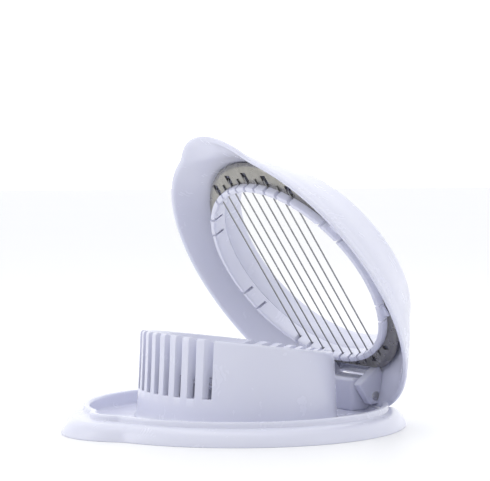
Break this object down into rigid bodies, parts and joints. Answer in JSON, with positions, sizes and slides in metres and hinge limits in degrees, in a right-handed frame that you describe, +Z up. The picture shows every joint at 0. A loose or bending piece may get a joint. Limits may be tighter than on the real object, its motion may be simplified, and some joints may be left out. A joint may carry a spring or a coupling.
{
  "type": "egg slicer",
  "caption": "Round hinged egg slicer: a tray with a slotted egg cradle and a domed lid that carries parallel cutting wires on a steel frame.",
  "frame": {"origin": "middle of the standing object's footprint, at table level, with the lid at its resting opening of 56 degrees", "axes": "+Z up from the table; +Y from the thumb lobe to the hinge; +X across the wires, along the hinge pin"},
  "size_m": [0.1048, 0.1106, 0.0885],
  "materials": {
    "white_plastic": "gloss",
    "frame_steel": "bright",
    "pin_steel": "satin",
    "wire_steel": "drawn"
  },
  "bodies": {
    "base": {"base_tray": "white_plastic", "egg_cradle": "white_plastic"},
    "lid": {"lid_shell": "white_plastic", "retaining_ring": "white_plastic", "wire_frame": "frame_steel", "hinge_pin": "pin_steel", "cutting_wire_1": "wire_steel", "cutting_wire_2": "wire_steel", "cutting_wire_3": "wire_steel", "cutting_wire_4": "wire_steel", "cutting_wire_5": "wire_steel", "cutting_wire_6": "wire_steel", "cutting_wire_7": "wire_steel", "cutting_wire_8": "wire_steel", "cutting_wire_9": "wire_steel"}
  },
  "joints": [
    {"name": "lid_hinge", "type": "hinge", "parent": "base", "child": "lid", "pos_m": [0, 0.0468, 0.0068], "axis": [-1, 0, 0], "range_deg": [-56, 4]}
  ]
}
